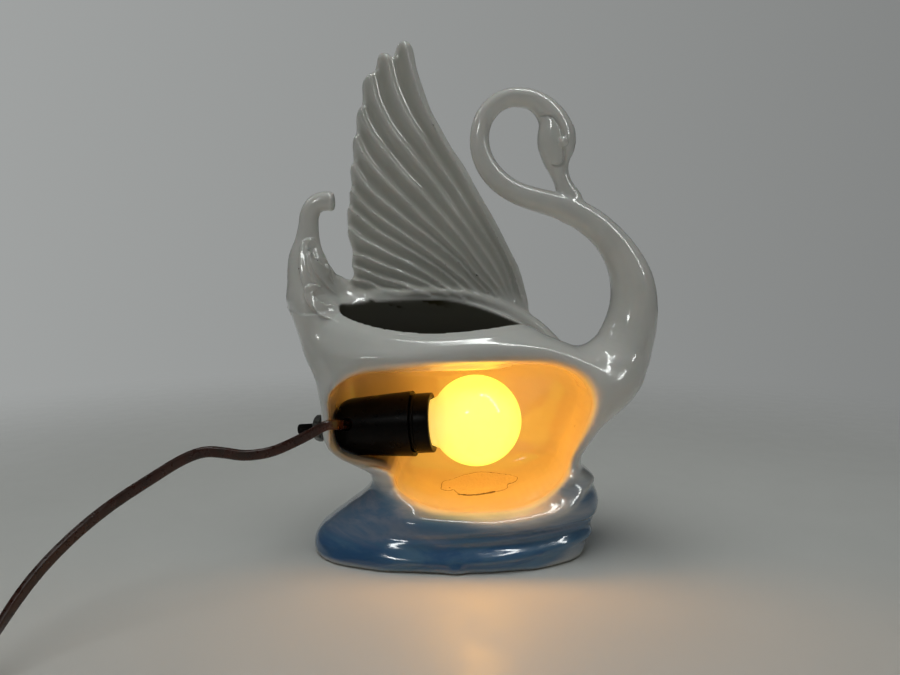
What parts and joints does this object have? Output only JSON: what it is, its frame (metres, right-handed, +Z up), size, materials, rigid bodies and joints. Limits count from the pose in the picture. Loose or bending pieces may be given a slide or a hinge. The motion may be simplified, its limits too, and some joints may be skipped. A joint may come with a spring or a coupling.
{
  "type": "tv lamp",
  "caption": "Glazed ceramic swan lamp with a planter trough in its back, a recess for a screw-in globe bulb, a turn-knob lampholder through the end wall, and a flat cord with a plug",
  "frame": {"origin": "On the table, under the middle of the base's flat bottom", "axes": "+Z is up, +X runs from the tail to the breast, and +Y points to the decorated side that faces the room, so the lamp recess opens towards -Y"},
  "size_m": [0.2966, 0.285, 0.2927],
  "materials": {
    "glazed_ceramic": "opaque glossy white glaze over cast earthenware, airbrushed blue on the base",
    "phenolic": "dark brown-black moulded phenolic, slightly dulled",
    "fibre": "dark vulcanised fibre",
    "brass": "aged brass",
    "plated_steel": "dull plated steel",
    "cord_rubber": "dark red-brown cord insulation with a slight shine",
    "bulb_glass": "thin glass with a white powder coat inside",
    "vitrite": "black glass insulator"
  },
  "bodies": {
    "lamp_body": {"ceramic_swan_body": "glazed_ceramic", "socket_shell": "phenolic", "socket_front_ring": "phenolic", "screw_shell": "brass", "terminal_block": "fibre", "centre_contact": "brass", "contact_rivet": "brass", "terminal_screw_line": "brass", "terminal_screw_neutral": "plated_steel", "switch_blade_in": "brass", "switch_blade_out": "brass", "threaded_bushing": "plated_steel", "cushion_washer": "fibre", "flat_washer": "plated_steel", "lock_washer": "plated_steel", "hex_nut": "plated_steel", "detent_spring": "plated_steel", "conductor_line": "cord_rubber", "conductor_neutral": "cord_rubber", "power_cord": "cord_rubber", "plug_body": "phenolic", "plug_face_card": "fibre", "plug_blade_a": "brass", "plug_blade_b": "brass", "plug_screw_a": "brass", "plug_screw_b": "brass", "plug_lead_a": "cord_rubber", "plug_lead_b": "cord_rubber"},
    "switch": {"switch_knob": "phenolic", "switch_shaft": "plated_steel", "switch_rotor": "fibre", "switch_bridge": "brass"},
    "bulb_tip": {"bulb_contact_tip": "brass"},
    "bulb": {"bulb_globe": "bulb_glass", "bulb_base_shell": "brass", "bulb_base_insulator": "vitrite", "bulb_stem": "bulb_glass", "bulb_lead_a": "plated_steel", "bulb_lead_b": "plated_steel", "bulb_filament": "plated_steel"}
  },
  "joints": [
    {"name": "switch_turn", "type": "hinge", "parent": "lamp_body", "child": "switch", "pos_m": [-0.066, 0.0054, 0.0667], "axis": [-0.9871, 0.139, -0.08], "continuous": true},
    {"name": "bulb_travel", "type": "slide", "parent": "lamp_body", "child": "bulb_tip", "axis": [0.9871, -0.139, 0.08], "range_m": [0, 0.0182]},
    {"name": "bulb_turn", "type": "hinge", "parent": "bulb_tip", "child": "bulb", "pos_m": [-0.066, 0.0054, 0.0667], "axis": [0.9871, -0.139, 0.08], "range_deg": [0, 1800]}
  ],
  "couplings": [
    {"joint": "bulb_travel", "follows": "bulb_turn", "m_per_rad": 0.00057757}
  ]
}
